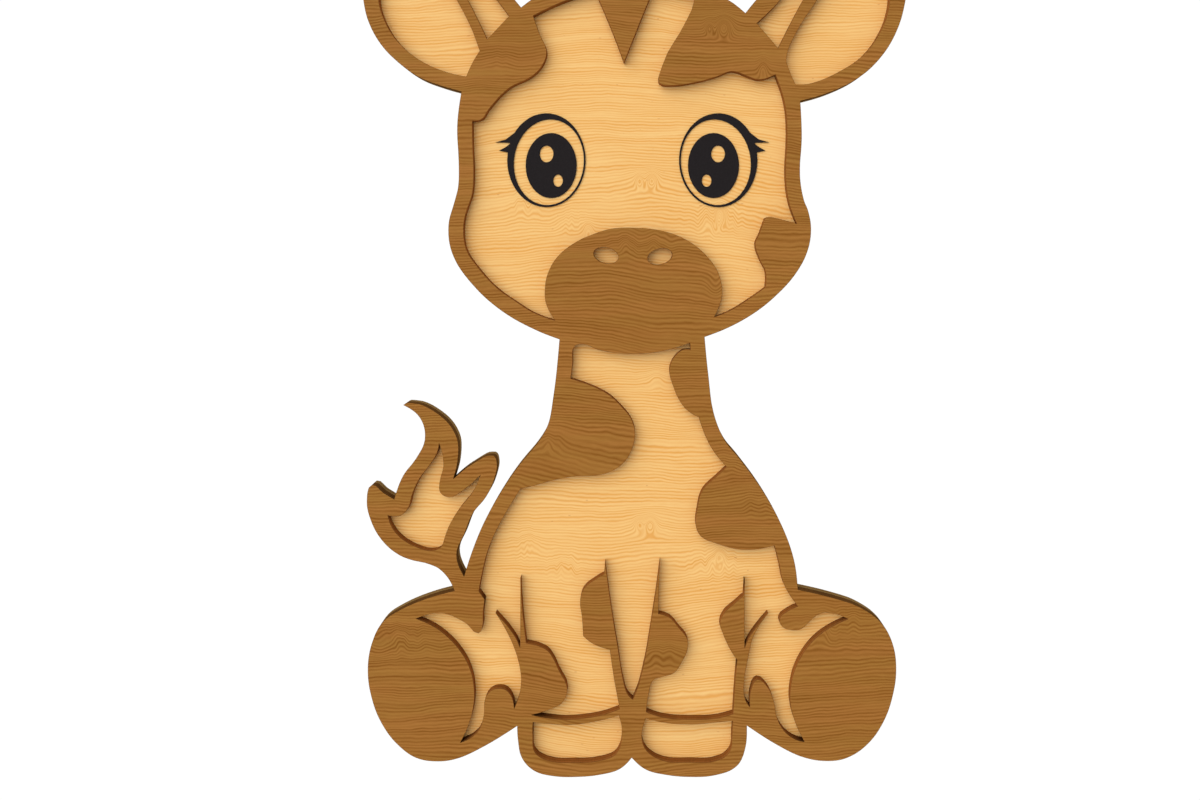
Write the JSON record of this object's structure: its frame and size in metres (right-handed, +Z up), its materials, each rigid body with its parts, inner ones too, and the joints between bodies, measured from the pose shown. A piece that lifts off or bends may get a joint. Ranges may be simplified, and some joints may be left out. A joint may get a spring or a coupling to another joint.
{
  "type": "wall plaque",
  "caption": "Layered plywood giraffe plaque: a dark fretwork sheet on a pale sheet of the same outline, with black inlaid eyes, a sawtooth hanger and wall pads.",
  "frame": {"origin": "where the wall's nail carries the plaque: the middle of the hanger's length and height, on the wall's plane", "axes": "+Z up the giraffe, +Y into the wall, so the front faces -Y; +X to the viewer's right"},
  "size_m": [0.1818, 0.0093, 0.3033],
  "materials": {
    "pale_plywood": "bare sanded pale plywood with a wavy horizontal grain and laser-browned edges",
    "dark_stained_plywood": "matte brown stain on plywood with a wavy horizontal grain and scorched cut edges",
    "matte_black": "matte black film",
    "zinc_plated_steel": "zinc-plated pressed strip",
    "screw_steel": "bright zinc-plated screws",
    "grey_rubber": "matte dark grey rubber"
  },
  "bodies": {
    "root": {"back_panel": "pale_plywood", "front_fretwork": "dark_stained_plywood", "left_eye_ring": "matte_black", "right_eye_ring": "matte_black", "left_pupil": "matte_black", "right_pupil": "matte_black", "hanger_plate": "zinc_plated_steel", "left_hanger_screw": "screw_steel", "right_hanger_screw": "screw_steel", "left_wall_bumper": "grey_rubber", "right_wall_bumper": "grey_rubber"}
  },
  "joints": []
}
